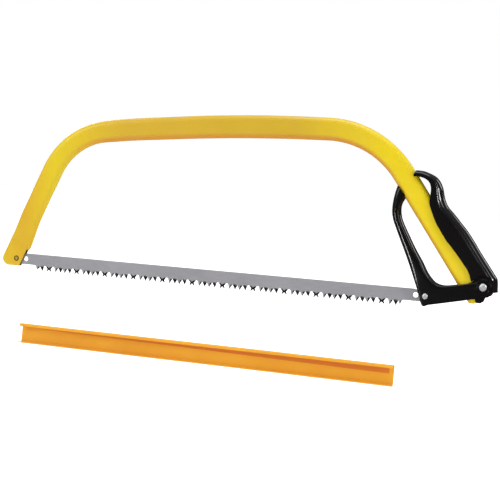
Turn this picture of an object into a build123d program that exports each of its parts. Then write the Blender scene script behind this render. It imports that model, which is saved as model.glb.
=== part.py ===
from build123d import *
from build123d.topology import SkipClean
import math
import os

# A 24 inch bow saw: a bent flat-oval tube holds a raker-tooth blade in tension.
# Millimetres. +X runs from the toe to the handle, +Z is up, Y = 0 is the mid-plane,
# and the origin is the axis of the toe pin. Points are (x, z) unless noted.

os.makedirs("parts", exist_ok=True)

# ---- shared dimensions ----
PIN_SPAN = 607.0              # toe pin to rear blade pin, the 24 inch blade size
TOE_PIN = (0, 0)
HEEL_PIN = (PIN_SPAN, 0)
BLADE_PIN_R = 2.8             # toe pin and rear blade pin
FULCRUM = (666.2, 15.8)       # the lever turns on the tube here
LINK = (680.1, 18.1)          # the guard bar turns on the lever here
FULCRUM_R, LINK_R = 4.0, 3.0

TUBE_W, TUBE_T, WALL = 30.4, 15.0, 1.5   # flat oval: width in the XZ plane, thickness in Y
BOW_START = (18.47, 60.0)     # a point on the tube centreline in the front leg
BOW_HEAD = 65.67              # heading there, in degrees above +X
# length along the centreline, bend radius (0 for a straight run)
BOW_RUN = [(77.8, 0), (104.2, 103.8), (58.1, 895.4), (63.6, 0), (210.2, 2526.2), (122.8, 129.9)]

BLADE_TOP, BLADE_EDGE, TOOTH_TIP = 8.0, -8.0, -16.0

CORE_IN, CORE_OUT = 7.72, 9.65      # lever channel walls, half widths
SHELL_IN, SHELL_OUT = 9.72, 12.2    # grip walls, half widths; the guard shares the outer one

SNUG, LOOSE = 0.02, 0.05      # radial play of pin holes
END_GAP = 0.03                # end play of the sleeve and rivets
TUBE_GAP = 0.35               # between the tube's flat sides and the mouldings
THROUGH = 20                  # half length of cutters that pass right through


# ---- helpers ----
def pt(point):
    return Vector(point[0], 0, point[1])


def direction(degrees):
    """Unit vector in the XZ plane, at an angle above +X."""
    angle = math.radians(degrees)
    return Vector(math.cos(angle), 0, math.sin(angle))


def lines(vectors):
    return [Line(a, b).edge() for a, b in zip(vectors, vectors[1:])]


def closed_face(vectors):
    return Face(Wire(lines(vectors + vectors[:1])))


def extrude_mid(face, half):
    """Extrudes a face in the XZ plane from Y = -half to Y = half."""
    return Solid.extrude(face.moved(Location((0, -half, 0))), Vector(0, 2 * half, 0))


def plate(points, half):
    """A plate with a straight-sided outline."""
    return extrude_mid(closed_face([pt(p) for p in points]), half)


def curved_plate(parts, half):
    """A plate outlined by point lists joined with straight lines.

    A list of two points is a line, and a longer one is a smooth curve.
    """
    edges = []
    for i, part in enumerate(parts):
        v = [pt(p) for p in part]
        edges.append(Line(v[0], v[1]).edge() if len(v) == 2 else Spline(*v).edge())
        following = pt(parts[(i + 1) % len(parts)][0])
        if (following - v[-1]).length > 1e-6:
            edges.append(Line(v[-1], following).edge())
    return extrude_mid(Face(Wire(edges)), half)


def rod(centre, radius, y0, y1):
    """A cylinder along Y between two Y values, given in either order."""
    low, high = sorted((y0, y1))
    base = Plane(origin=(centre[0], low, centre[1]), z_dir=(0, 1, 0))
    return Solid.make_cylinder(radius, high - low, base)


def disc(centre, radius, half=THROUGH):
    return rod(centre, radius, -half, half)


def headed(centre, radius, head_r, head_h, y0, y1):
    """A rivet shank from y0 to y1 with a domed head standing past y1."""
    side = 1 if y1 > y0 else -1
    dome_r = (head_r ** 2 + head_h ** 2) / (2 * head_h)
    dome_base = Plane(origin=(centre[0], y1 + side * (head_h - dome_r), centre[1]))
    ball = Solid.make_sphere(dome_r, dome_base, -90, 90, 360)
    cap = ball.intersect(rod(centre, head_r + 1, y1, y1 + side * 5)).solids()[0]
    return one(rod(centre, radius, y0, y1).fuse(cap))


def arc_points(centre, radius, start, end, count):
    angles = [math.radians(start + (end - start) * i / (count - 1)) for i in range(count)]
    return [(centre[0] + radius * math.cos(a), centre[1] + radius * math.sin(a))
            for a in angles]


def near(x, z, points):
    """True when (x, z) lies within 1.5 mm of the open line through points."""
    best = math.inf
    for (ax, az), (bx, bz) in zip(points, points[1:]):
        dx, dz = bx - ax, bz - az
        t = ((x - ax) * dx + (z - az) * dz) / (dx ** 2 + dz ** 2)
        t = min(1, max(0, t))
        best = min(best, math.hypot(x - ax - t * dx, z - az - t * dz))
    return best < 1.5


def soften(solid, curve, radius, min_z, min_x=0.0):
    """Rounds the edges that follow a curve on both flat sides, past min_x and min_z."""
    edges = []
    for edge in solid.edges():
        middle = edge @ 0.5
        if (abs(edge.tangent_at(0.5).Y) < 0.1 and edge.length > 3
                and middle.X > min_x and middle.Z > min_z
                and near(middle.X, middle.Z, curve)):
            edges.append(edge)
    for attempt in (radius, radius * 0.75, radius * 0.5):
        # A fillet this wide can fail on a curved outline; a smaller one is tried next.
        try:
            rounded = solid.fillet(attempt, edges)
            if rounded.is_valid and rounded.volume < solid.volume * 1.001:
                return rounded
        except Exception:
            pass
    return solid


def one(shape):
    solids = shape.solids()
    assert len(solids) == 1, len(solids)
    return solids[0]


# ---- frame of the rear leg ----
HEEL_HEAD = BOW_HEAD - sum(math.degrees(length / radius) for length, radius in BOW_RUN if radius)
UP_LEG = -direction(HEEL_HEAD)
BEHIND_LEG = Vector(UP_LEG.Z, 0, -UP_LEG.X)


def leg(up, behind):
    """A point up the rear leg from the fulcrum and behind the tube's centreline."""
    return (FULCRUM[0] + up * UP_LEG.X + behind * BEHIND_LEG.X,
            FULCRUM[1] + up * UP_LEG.Z + behind * BEHIND_LEG.Z)


# ---- bow tube ----
TOE_W, TOE_T, TOE_WALL = 34.0, 6.4, 1.6   # the flattened toe
TOE_SHIFT = 2.7               # the toe's middle lies this far inside the centreline
TOE_CORNER = 11.0             # radius of the front bottom corner
TOE_BOTTOM = -10.8
TOE_INNER = 16.5              # toe's inner edge, from the centreline, where it is cut back
NOTCH_TOP, NOTCH_LOW = 13.6, -30
# stations along the front leg from BOW_START: round tube, flat toe, end before trimming
FLARE_TOP, FLARE_LOW, TOE_END = 12, -34, -92
OUTER_TAIL, BORE_TAIL = 205, 210   # rear leg lengths; the bore runs out past the end


def inward(heading):
    """Across the tube towards the inside of the bow."""
    return direction(heading - 90)


def section(centre, heading, width, thick, shift=0.0):
    across = inward(heading)
    plane = Plane(origin=centre + across * shift, x_dir=across, z_dir=direction(heading))
    return (plane * SlotOverall(width, thick)).face()


def front_leg(along):
    return pt(BOW_START) + direction(BOW_HEAD) * along


def sweep_bow(width, thick, tail):
    """Straight runs are extruded and bends are revolved."""
    place, heading = front_leg(FLARE_TOP), BOW_HEAD
    first_run = (BOW_RUN[0][0] - FLARE_TOP, 0)
    solids = []
    for length, radius in [first_run] + BOW_RUN[1:] + [(tail, 0)]:
        face = section(place, heading, width, thick)
        if radius == 0:
            step = direction(heading) * length
            solids.append(Solid.extrude(face, step))
            place = place + step
        else:
            turn = math.degrees(length / radius)
            centre = place + inward(heading) * radius
            solids.append(Solid.revolve(face, turn, Axis(centre, (0, 1, 0))))
            heading -= turn
            place = centre - inward(heading) * radius
    return solids


def make_toe(tube_w, tube_t, toe_w, toe_t):
    """The flare from tube to toe, and the flat toe below it."""
    round_end = section(front_leg(FLARE_TOP), BOW_HEAD, tube_w, tube_t)
    flat_end = section(front_leg(FLARE_LOW), BOW_HEAD, toe_w, toe_t, TOE_SHIFT)
    flare = Solid.make_loft([flat_end.outer_wire(), round_end.outer_wire()], ruled=True)
    bottom = section(front_leg(TOE_END), BOW_HEAD, toe_w, toe_t, TOE_SHIFT)
    flat = Solid.extrude(bottom, direction(BOW_HEAD) * (FLARE_LOW - TOE_END))
    return flare, flat


def toe_offset_x(z, offset):
    """X at height z of the line parallel to the front leg, offset towards the inside."""
    angle = math.radians(BOW_HEAD)
    return BOW_START[0] - (BOW_START[1] - z) / math.tan(angle) + offset / math.sin(angle)


def toe_trim():
    """Cutter that squares the toe's bottom and rounds its front corner."""
    corner = Vector(toe_offset_x(TOE_BOTTOM, TOE_SHIFT - TOE_W / 2), 0, TOE_BOTTOM)
    tangent = TOE_CORNER / math.tan(math.radians(BOW_HEAD / 2))
    on_bottom = corner + Vector(tangent, 0, 0)
    on_side = corner + direction(BOW_HEAD) * tangent
    arc_centre = on_bottom + Vector(0, 0, TOE_CORNER)
    on_arc = arc_centre + direction((270 + 90 + BOW_HEAD) / 2) * TOE_CORNER
    front_x, rear_x, low_z = corner.X - 30, 80, -70
    around = [(front_x, TOE_BOTTOM + 10), (front_x, low_z), (rear_x, low_z),
              (rear_x, TOE_BOTTOM)]
    edges = lines([on_side] + [pt(p) for p in around] + [on_bottom])
    edges.append(ThreePointArc(on_bottom, on_arc, on_side).edge())
    return extrude_mid(Face(Wire(edges)), THROUGH)


def make_bow_tube():
    outer = sweep_bow(TUBE_W, TUBE_T, OUTER_TAIL)
    tube = outer[0].fuse(*outer[1:])
    flare, flat = make_toe(TUBE_W, TUBE_T, TOE_W, TOE_T)
    # the toe's inner edge is cut back to let the blade in
    notch = plate([(toe_offset_x(NOTCH_LOW, TOE_INNER), NOTCH_LOW),
                   (toe_offset_x(NOTCH_TOP, TOE_INNER), NOTCH_TOP),
                   (60, NOTCH_TOP), (60, NOTCH_LOW)], THROUGH)
    tube = tube.fuse(flare.fuse(flat).cut(toe_trim(), notch))
    # hollow inside, open at both ends
    inner = sweep_bow(TUBE_W - 2 * WALL, TUBE_T - 2 * WALL, BORE_TAIL)
    toe_bore = make_toe(TUBE_W - 2 * WALL, TUBE_T - 2 * WALL,
                        TOE_W - 2 * TOE_WALL, TOE_T - 2 * TOE_WALL)
    tube = tube.cut(inner[0].fuse(*inner[1:], *toe_bore))
    # heel end: cut level, with the rear corner taken off
    tube = tube.cut(plate([(600, -4.0), (670, -4.0), (689.5, 12.0), (760, 12.0),
                           (760, -60), (600, -60)], THROUGH))
    tube = tube.cut(disc(TOE_PIN, BLADE_PIN_R + SNUG), disc(FULCRUM, FULCRUM_R + LOOSE))
    return one(tube)


# ---- toe pin: peened rivet through the flattened toe ----
TOE_PIN_PROUD, TOE_PIN_CHAMFER = 0.6, 0.5


def make_toe_pin():
    pin = disc(TOE_PIN, BLADE_PIN_R, TOE_T / 2 + TOE_PIN_PROUD)
    rims = [e for e in pin.edges() if e.geom_type == GeomType.CIRCLE]
    return one(pin.chamfer(TOE_PIN_CHAMFER, None, rims))


# ---- saw blade: groups of four cutters and one raker ----
BLADE_T = 1.0
GROUP_PITCH, FIRST_RAKER, RAKERS = 45.0, 53.1, 12
SPARE_HOLE_R, SPARE_HOLE_IN = 3.5, 14.5   # round hole inboard of each pin
TOE_SLOT_W, HEEL_SLOT_W = 7.4, 7.9
TOE_SEAT_Z, HEEL_SEAT_Z = 0.3, 0.5
HOOK_SLOT_DEG = 45.0
SEAT_PLAY = 0.2
# tooth line before the first group
LEAD_IN = [(29.0, BLADE_EDGE), (31.2, -8.6), (33.75, -14.6), (36.0, -12.2), (38.3, -10.0)]
# one group: x from the raker's middle, z
GROUP = [
    (-10.9, TOOTH_TIP), (-8.6, -9.6), (-7.5, -8.3), (-6.3, BLADE_EDGE), (-5.2, -8.4),
    (-4.4, -9.8), (-2.9, -15.3), (0, -12.4), (2.9, -15.3), (4.4, -9.8),
    (5.2, -8.4), (6.3, BLADE_EDGE), (7.5, -8.3), (8.6, -9.6), (10.6, TOOTH_TIP),
    (15.3, -10.0), (18.9, TOOTH_TIP), (22.0, -10.3),
]
BETWEEN = [(25.6, TOOTH_TIP), (29.7, -10.0)]                # on to the next group
LEAD_OUT = [(24.4, -14.4), (26.4, -9.0), (28.5, BLADE_EDGE)]   # after the last group
# blade end, both ends alike: distance past the pin, z
BLADE_END = [(5.5, -6.6), (8, -3.0), (8, 5.0), (5.5, BLADE_TOP)]


def tooth_line():
    points = list(LEAD_IN)
    for i in range(RAKERS):
        raker = FIRST_RAKER + GROUP_PITCH * i
        tail = BETWEEN if i < RAKERS - 1 else LEAD_OUT
        points += [(raker + x, z) for x, z in GROUP + tail]
    return points


def hook_slot(x, side, width, seat_z):
    """Slot that seats on a pin and opens up and inboard; side is +1 where inboard is +X."""
    half, far = width / 2, 20
    seat = Vector(x + side * (half - BLADE_PIN_R - SEAT_PLAY), 0, seat_z)
    angle = math.radians(HOOK_SLOT_DEG)
    along = Vector(side * math.cos(angle), 0, math.sin(angle))
    across = Vector(-side * math.sin(angle), 0, math.cos(angle)) * half
    corners = [seat + across, seat - across,
               seat - across + along * far, seat + across + along * far]
    body = extrude_mid(closed_face(corners), THROUGH)
    # the inboard lip at the mouth is eased
    lip_x = seat.X - across.X + along.X * (BLADE_TOP - seat.Z + across.Z) / along.Z
    ease = plate([(lip_x - side * 2.2, BLADE_TOP - 2.2), (lip_x + side * 2.6, BLADE_TOP + 0.01),
                  (lip_x - side * 2.2, BLADE_TOP + 2)], THROUGH)
    return [disc((seat.X, seat.Z), half), body, ease]


def make_saw_blade():
    outline = [(-2.0, BLADE_EDGE)] + tooth_line() + [(PIN_SPAN + 2.0, BLADE_EDGE)]
    outline += [(PIN_SPAN + x, z) for x, z in BLADE_END]
    outline += [(-x, z) for x, z in reversed(BLADE_END)]
    cuts = hook_slot(0, 1, TOE_SLOT_W, TOE_SEAT_Z)
    cuts += hook_slot(PIN_SPAN, -1, HEEL_SLOT_W, HEEL_SEAT_Z)
    cuts += [disc((x, 0), SPARE_HOLE_R) for x in (SPARE_HOLE_IN, PIN_SPAN - SPARE_HOLE_IN)]
    return one(plate(outline, BLADE_T / 2).cut(*cuts))


# ---- hand guard: knuckle bow and bottom bar in one moulding ----
GUARD_ROUND, GUARD_ROUND_Z = 4.0, 62   # the edges are rounded above this height
POCKET = 9.9                  # half gap between the guard's cheeks
BAR_END_R = 10.5
BLADE_SLOT = 3.2
SADDLE = -15.85               # face that meets the tube, behind the centreline
GUARD_FRONT = [
    (603.8, -12.7), (598.0, 1.9), (592.7, 14.9), (585.3, 32.2), (576.2, 52.3), (567.2, 71.3),
    (560.0, 87.2), (556.3, 96.5), (554.6, 107.9), (554.9, 117.5), (556.4, 128.0),
    leg(163.0, SADDLE),
]
GUARD_INSIDE = [
    leg(145.0, SADDLE), (566.2, 118.5), (565.8, 110.0), (567.4, 99.5), (571.6, 88.0),
    (579.8, 73.6), (588.2, 59.2), (596.6, 46.0), (603.8, 32.3), (609.6, 23.5),
    (617.2, 17.3), (628.5, 15.3), (642.4, 17.4),
]
BAR_ANGLE = math.atan2(22.2 - 17.4, 664.2 - 642.4)
BAR_TOP_END = (671.2, 17.4 + (671.2 - 642.4) * math.tan(BAR_ANGLE))
BAR_HEEL = [(690.2, 9.5), (688.0, 6.4), (684.0, 5.2)]
# one side of the knuckle bow's taper: y, z
BOW_TAPER = [(12.3, 26), (9.0, 62), (8.6, 170), (30, 170), (30, 26)]
# sunk panel: centre, size, rib height and the bottoms of the ribs from the centre
PANEL_X, PANEL_Z = 645.0, 8.2
PANEL_L, PANEL_T, PANEL_H = 36, 1.2, 12.4
RIB_H, RIB_BOTTOMS = 0.9, (-2.6, 1.9)
RING_R, RING_HOLE_R = 10.1, 8.4   # raised ring round the link
RING_SUNK, RING_PROUD = 0.3, 0.45


def panel_strips():
    """The panel cutter, split by its ribs and tilted to the bar, centred on the origin."""
    panel = Solid.make_box(PANEL_L, PANEL_T, PANEL_H)
    panel = panel.moved(Location((-PANEL_L / 2, -PANEL_T / 2, -PANEL_H / 2)))
    for z in RIB_BOTTOMS:
        panel = panel.cut(Solid.make_box(40, 3, RIB_H).moved(Location((-20, -1.5, z))))
    axis = Axis((0, 0, 0), (0, 1, 0))
    return [strip.rotate(axis, -math.degrees(BAR_ANGLE)) for strip in panel.solids()]


def make_hand_guard():
    end_x, end_z = BAR_TOP_END[0] - LINK[0], BAR_TOP_END[1] - LINK[1]
    start = math.degrees(math.atan2(end_z, end_x)) - 8
    bar_end = [BAR_TOP_END] + arc_points(LINK, BAR_END_R, start, -20, 12)
    outline = [GUARD_FRONT, GUARD_INSIDE, bar_end, [bar_end[-1]] + BAR_HEEL]
    guard = curved_plate(outline, SHELL_OUT)
    # the knuckle bow thins upwards from the bar's full width
    for side in (1, -1):
        wedge = closed_face([Vector(0, side * y, z) for y, z in BOW_TAPER])
        guard = guard.cut(Solid.extrude(wedge, Vector(700, 0, 0)))
    guard = soften(guard, GUARD_FRONT, GUARD_ROUND, GUARD_ROUND_Z)
    guard = soften(guard, GUARD_INSIDE, GUARD_ROUND, GUARD_ROUND_Z)
    # saddle that sits round the tube's inner edge
    saddle_plane = Plane(origin=pt(leg(120, -8)), z_dir=UP_LEG)
    saddle = Face(Wire([Edge.make_circle(TUBE_T / 2 + TUBE_GAP, saddle_plane)]))
    guard = guard.cut(Solid.extrude(saddle, UP_LEG * 80))
    # slot for the blade's end, open to the front and bottom
    slot_base = Plane(origin=(560, -BLADE_SLOT / 2, -40))
    guard = guard.cut(Solid.make_box(73, BLADE_SLOT, 50.5, slot_base))
    # pocket between the cheeks for the tube's end and the lever
    pocket = [leg(60, -17.6), leg(-60, -17.6), (760, -80), (760, 120)]
    guard = guard.cut(plate(pocket, POCKET))
    strips = panel_strips()
    for side in (1, -1):
        for strip in strips:
            guard = guard.cut(strip.moved(Location((PANEL_X, side * SHELL_OUT, PANEL_Z))))
        ring = rod(LINK, RING_R, side * (SHELL_OUT - RING_SUNK), side * (SHELL_OUT + RING_PROUD))
        guard = guard.fuse(ring.cut(disc(LINK, RING_HOLE_R)))
    guard = guard.cut(disc(HEEL_PIN, BLADE_PIN_R + SNUG), disc(LINK, LINK_R + LOOSE))
    return one(guard)


# ---- rear blade pin: a domed head on each side ----
HEEL_HEAD_R, HEEL_HEAD_H = 3.6, 1.4


def make_heel_pin():
    left, right = [headed(HEEL_PIN, BLADE_PIN_R, HEEL_HEAD_R, HEEL_HEAD_H,
                          0, side * (SHELL_OUT + END_GAP)) for side in (1, -1)]
    return one(left.fuse(right))


# ---- tension lever: pressed steel channel astride the rear leg ----
LEVER_BACK = 17.9             # outside of the channel's web, behind the centreline
WEB_INSIDE = 16.0
FULCRUM_BOSS_R, LINK_BOSS_R = 7.5, 9.0
LUGS = [leg(36, 13.4), leg(92, 13.4)]
LUG_R, LUG_HOLE_R = 2.55, 2.6


def make_tension_lever():
    walls = [leg(8, LEVER_BACK), leg(112, LEVER_BACK), leg(112, 10.5), leg(104, 9.2),
             leg(14, 9.2), leg(4.5, 5.5)]
    # joins the fulcrum boss to the link boss
    bridge = [
        (FULCRUM[0] - 1.0, FULCRUM[1] + 7.4), leg(8, 9), leg(8, LEVER_BACK),
        (LINK[0] + 6.5, LINK[1] + 6.2), (LINK[0] + 8.9, LINK[1] - 1),
        (LINK[0] + 3, LINK[1] - 8.4), (679.6, -1.0), (678.2, -2.6), (672.8, -2.6),
        (671.4, -1.2), (668.5, FULCRUM[1] - 7.0), (FULCRUM[0] - 1, FULCRUM[1] - 7.4),
    ]
    # runs on down behind the link, filling the space inside the grip's heel
    skirt = [
        leg(20, LEVER_BACK), (683.0, 33.6), (688.0, 32.6), (689.6, 28.2), (690.4, 20.0),
        (690.4, 9.6), (686.0, 10.5), LINK, leg(8, 12),
    ]
    # space between the walls, open to the front and bottom
    channel = [leg(140, WEB_INSIDE), leg(16.5, WEB_INSIDE), leg(16.5, 40), leg(-60, 40),
               leg(-60, -40), leg(140, -40)]
    lever = plate(walls, CORE_OUT).fuse(
        disc(FULCRUM, FULCRUM_BOSS_R, CORE_OUT), disc(LINK, LINK_BOSS_R, CORE_OUT),
        plate(bridge, CORE_OUT), plate(skirt, CORE_OUT))
    lever = lever.cut(plate(channel, CORE_IN))
    lever = lever.cut(disc(FULCRUM, FULCRUM_R + SNUG), disc(LINK, LINK_R + SNUG))
    for lug in LUGS:
        lever = lever.cut(disc(lug, LUG_HOLE_R))
    return one(lever)


# ---- grip: moulded shell over the lever, ending in a hook over the tube ----
GRIP_ROUND = 6.0
GRIP_BACK_WALL = 2.8
GRIP_LOW_R = 15.3             # the shell's lower end is an arc about the link
HEEL_CLEAR_R, FULCRUM_CLEAR_R = 9.6, 24.4
GRIP_FRONT = [
    (664.0, 24.6), (662.2, 33.0), (654.2, 44.1), (641.2, 60.6), (628.3, 74.6),
    (616.8, 91.3), (607.9, 108.5), (603.6, 119.9), (604.0, 130.4), (604.3, 139.1),
    (602.6, 145.9), (597.8, 150.6), (591.0, 153.0), (580.0, 153.6),
]
GRIP_BACK = [
    (583.0, 161.9), (594.2, 160.7), (606.6, 155.9), (613.4, 150.0), (618.1, 141.4),
    (620.1, 134.0), (622.6, 125.5), (627.2, 117.0), (636.2, 107.6), (645.6, 97.3),
    (655.0, 86.8), (664.5, 73.9), (674.1, 60.0), (683.5, 47.2), (691.7, 35.9), (696.4, 28.4),
]


def inset(points, distance):
    """Moves each point to the right of the direction of travel."""
    moved = []
    for i, (x, z) in enumerate(points):
        before, after = points[max(i - 1, 0)], points[min(i + 1, len(points) - 1)]
        dx, dz = after[0] - before[0], after[1] - before[1]
        length = math.hypot(dx, dz)
        moved.append((x + distance * dz / length, z - distance * dx / length))
    return moved


def make_lever_grip(lever):
    low = arc_points(LINK, GRIP_LOW_R, 24, 150, 13)
    grip = curved_plate([GRIP_FRONT, GRIP_BACK, low], SHELL_OUT)
    grip = soften(grip, GRIP_BACK, GRIP_ROUND, min_z=30, min_x=583.5)
    # the end of the hook stays solid; the hollow starts below it
    hollow_back = inset(GRIP_BACK, GRIP_BACK_WALL)[2:]
    grip = grip.cut(curved_plate([
        hollow_back, [(686.0, 24.0), (640, 0)], [(560, 120), (590, 146.0)],
        [(590, 146.0), (598.0, 146.5)]], SHELL_IN))
    # the hook's tip straddles the tube
    tube_space = [leg(200, -30), leg(200, 15.9), leg(20, 15.9), leg(20, -30)]
    grip = grip.cut(plate(tube_space, TUBE_T / 2 + TUBE_GAP))
    heel = plate([(690.9, 9.0), (697.4, 11.7), GRIP_BACK[-1], GRIP_BACK[-2], (684, 42),
                  (682, 36), (688.8, 34.0), (690.2, 28.5), (690.9, 20.0)], CORE_OUT)
    grip = grip.fuse(heel.cut(disc(LINK, HEEL_CLEAR_R)))
    grip = grip.cut(disc(FULCRUM, FULCRUM_CLEAR_R, SHELL_IN))
    # lugs that fill the holes in the lever's walls
    for lug in LUGS:
        for side in (1, -1):
            grip = grip.fuse(rod(lug, LUG_R, side * (CORE_IN + 0.15), side * (SHELL_IN + 0.5)))
    return one(grip.cut(lever))


# ---- sleeve round the fulcrum pin that keeps it from crushing the tube ----
SLEEVE_R = 6.0


def make_fulcrum_sleeve():
    sleeve = disc(FULCRUM, SLEEVE_R, TUBE_T / 2 - WALL - END_GAP)
    return one(sleeve.cut(disc(FULCRUM, FULCRUM_R + LOOSE)))


# ---- link rivets: one through each cheek and lever wall, clear of the tube ----
LINK_HEAD_R, LINK_HEAD_H = 4.7, 1.7


def make_link_rivets():
    return Compound([headed(LINK, LINK_R, LINK_HEAD_R, LINK_HEAD_H,
                            side * (CORE_IN + END_GAP), side * (SHELL_OUT + END_GAP))
                     for side in (1, -1)])


# ---- blade cover: extruded C channel, shown off the blade and swung below it ----
COVER_X0, COVER_X1 = 15.6, 571.6
COVER_WALL, COVER_DEPTH, COVER_LIP = 1.2, 11.0, 0.5
COVER_Y = -4.2                # outside of the channel's web before the swing
TIP_GAP, TOP_GAP = 1.4, 0.4   # room past the tooth tips and the blade's back
COVER_SWING, COVER_R = 174.0, 52.1   # degrees, and swing line to the cover's mid height


def make_blade_cover():
    bottom = TOOTH_TIP - TIP_GAP - COVER_WALL
    top = BLADE_TOP + TOP_GAP + COVER_WALL
    mouth = COVER_Y + COVER_DEPTH
    web_inside, lip_inside = COVER_Y + COVER_WALL, mouth - COVER_WALL
    floor, ceiling = bottom + COVER_WALL, top - COVER_WALL
    # y, z
    profile = [(COVER_Y, bottom), (mouth, bottom), (mouth, floor + COVER_LIP),
               (lip_inside, floor + COVER_LIP), (lip_inside, floor), (web_inside, floor),
               (web_inside, ceiling), (mouth, ceiling), (mouth, top), (COVER_Y, top)]
    face = closed_face([Vector(COVER_X0, y, z) for y, z in profile])
    strip = Solid.extrude(face, Vector(COVER_X1 - COVER_X0, 0, 0))
    swing_line = Axis((0, 0, (bottom + top) / 2 - COVER_R), (1, 0, 0))
    return one(strip.rotate(swing_line, COVER_SWING))


# ---- build and export ----
with SkipClean():             # the tube's faces stay split where its runs meet
    bow_tube = make_bow_tube()
tension_lever = make_tension_lever()

NODES = {
    "bow_tube": bow_tube,
    "toe_pin": make_toe_pin(),
    "fulcrum_sleeve": make_fulcrum_sleeve(),
    "saw_blade": make_saw_blade(),
    "hand_guard": make_hand_guard(),
    "heel_pin": make_heel_pin(),
    "tension_lever": tension_lever,
    "lever_grip": make_lever_grip(tension_lever),
    "fulcrum_pin": disc(FULCRUM, FULCRUM_R, CORE_OUT),
    "link_rivets": make_link_rivets(),
    "blade_cover": make_blade_cover(),
}
for name, shape in NODES.items():
    export_step(shape, f"parts/{name}.step")
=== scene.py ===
"""A 24 inch bow saw, with its blade cover lying below it.

The saw stands in the XZ plane. The blade runs along +X from the toe pin at the origin to the
heel pin, with its teeth down (-Z) and the bow above. Thickness runs along Y; the near side is -Y.
Shapes are drawn in millimetres; lights, camera and texture coordinates are in metres.
"""
import math

import bpy
import bmesh
import numpy as np
from mathutils import Vector, Matrix


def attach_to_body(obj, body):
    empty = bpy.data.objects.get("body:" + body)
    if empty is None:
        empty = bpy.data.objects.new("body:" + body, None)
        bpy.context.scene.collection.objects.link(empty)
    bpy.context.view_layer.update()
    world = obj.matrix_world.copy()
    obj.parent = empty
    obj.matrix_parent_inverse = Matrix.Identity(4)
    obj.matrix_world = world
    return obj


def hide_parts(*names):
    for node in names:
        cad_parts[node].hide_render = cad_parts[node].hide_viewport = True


MILLI = 0.001            # millimetres to metres
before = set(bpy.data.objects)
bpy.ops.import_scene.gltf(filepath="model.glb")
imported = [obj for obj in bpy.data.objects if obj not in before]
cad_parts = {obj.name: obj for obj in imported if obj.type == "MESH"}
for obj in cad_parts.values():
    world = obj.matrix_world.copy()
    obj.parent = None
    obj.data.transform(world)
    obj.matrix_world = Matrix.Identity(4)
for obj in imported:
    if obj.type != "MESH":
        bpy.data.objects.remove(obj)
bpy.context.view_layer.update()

SCENE = bpy.context.scene

# places shared between pieces, as (x, z)
TOE_PIN = (0, 0)
HEEL_PIN = (607.0, 0)
FULCRUM = (666.2, 15.8)
LINK_PIVOT = (680.1, 18.1)
PIN_HOLE_RADIUS = 2.82


# ------------------------------------------------------------------ shader helpers
def set_inputs(tree, node, inputs):
    """Link each input that is given a socket, and set the others to their values."""
    for key, value in inputs.items():
        if isinstance(value, bpy.types.NodeSocket):
            tree.links.new(value, node.inputs[key])
        else:
            node.inputs[key].default_value = value


def add_node(tree, kind, inputs=None, **settings):
    node = tree.nodes.new("ShaderNode" + kind)
    for key, value in settings.items():
        setattr(node, key, value)
    set_inputs(tree, node, inputs or {})
    return node


def new_material(name, look):
    """A material whose principled shader takes the inputs in look."""
    material = bpy.data.materials.new(name)
    material.use_nodes = True
    tree = material.node_tree
    shader = next(n for n in tree.nodes if n.type == "BSDF_PRINCIPLED")
    set_inputs(tree, shader, look)
    return material, tree, shader


def object_coords(tree, scale=(1, 1, 1)):
    coords = add_node(tree, "TexCoord").outputs["Object"]
    return add_node(tree, "Mapping", {"Scale": scale, "Vector": coords}).outputs["Vector"]


def noise(tree, vector, scale, detail, rough=0.5):
    inputs = {"Scale": scale, "Detail": detail, "Roughness": rough, "Vector": vector}
    return add_node(tree, "TexNoise", inputs).outputs[0]


def split_xyz(tree, vector):
    return add_node(tree, "SeparateXYZ", {0: vector}).outputs


def calc(tree, operation, *values):
    return add_node(tree, "Math", dict(enumerate(values)), operation=operation).outputs[0]


def map_range(tree, value, low, high):
    return add_node(tree, "MapRange", {0: value, 1: low, 2: high}).outputs[0]


def mix_color(tree, factor, first, second, blend="MIX"):
    # inputs 6 and 7 are the two colours
    inputs = {0: factor, 6: first, 7: second}
    return add_node(tree, "Mix", inputs, data_type="RGBA", blend_type=blend).outputs[2]


def ramp(tree, factor, stops):
    """Colour ramp through (position, colour) stops."""
    node = add_node(tree, "ValToRGB", {"Fac": factor})
    elements = node.color_ramp.elements
    while len(elements) < len(stops):
        elements.new(0.5)
    for element, (position, color) in zip(elements, stops):
        element.position = position
        element.color = (*color, 1)
    return node.outputs["Color"]


def grey(level):
    return (level,) * 3


def vary_roughness(tree, shader, pattern, low, high):
    color = ramp(tree, pattern, [(0.3, grey(low)), (0.7, grey(high))])
    set_inputs(tree, shader, {"Roughness": color})


def bump(tree, shader, height, strength, distance):
    node = add_node(tree, "Bump", {"Strength": strength, "Distance": distance, "Height": height})
    set_inputs(tree, shader, {"Normal": node.outputs["Normal"]})


def srgb(*levels):
    """Linear colour from 0-255 sRGB levels."""
    return tuple((c / 255) / 12.92 if c <= 10 else (((c / 255) + 0.055) / 1.055) ** 2.4
                 for c in levels)


# ------------------------------------------------------------------ materials
# enamel colour along the saw, with painted light: lemon round the toe and on the rear leg where
# more light falls, mustard along the top: (share of the length, colour)
ENAMEL_X = (-0.03, 0.69)
ENAMEL_WITH_PAINTED_LIGHT = [
    (0.0, srgb(228, 192, 30)), (0.06, srgb(226, 180, 32)), (0.12, srgb(232, 204, 20)),
    (0.19, srgb(226, 192, 28)), (0.27, srgb(216, 176, 42)), (0.62, srgb(216, 178, 42)),
    (0.80, srgb(240, 212, 14)), (1.0, srgb(242, 214, 8))]


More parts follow.
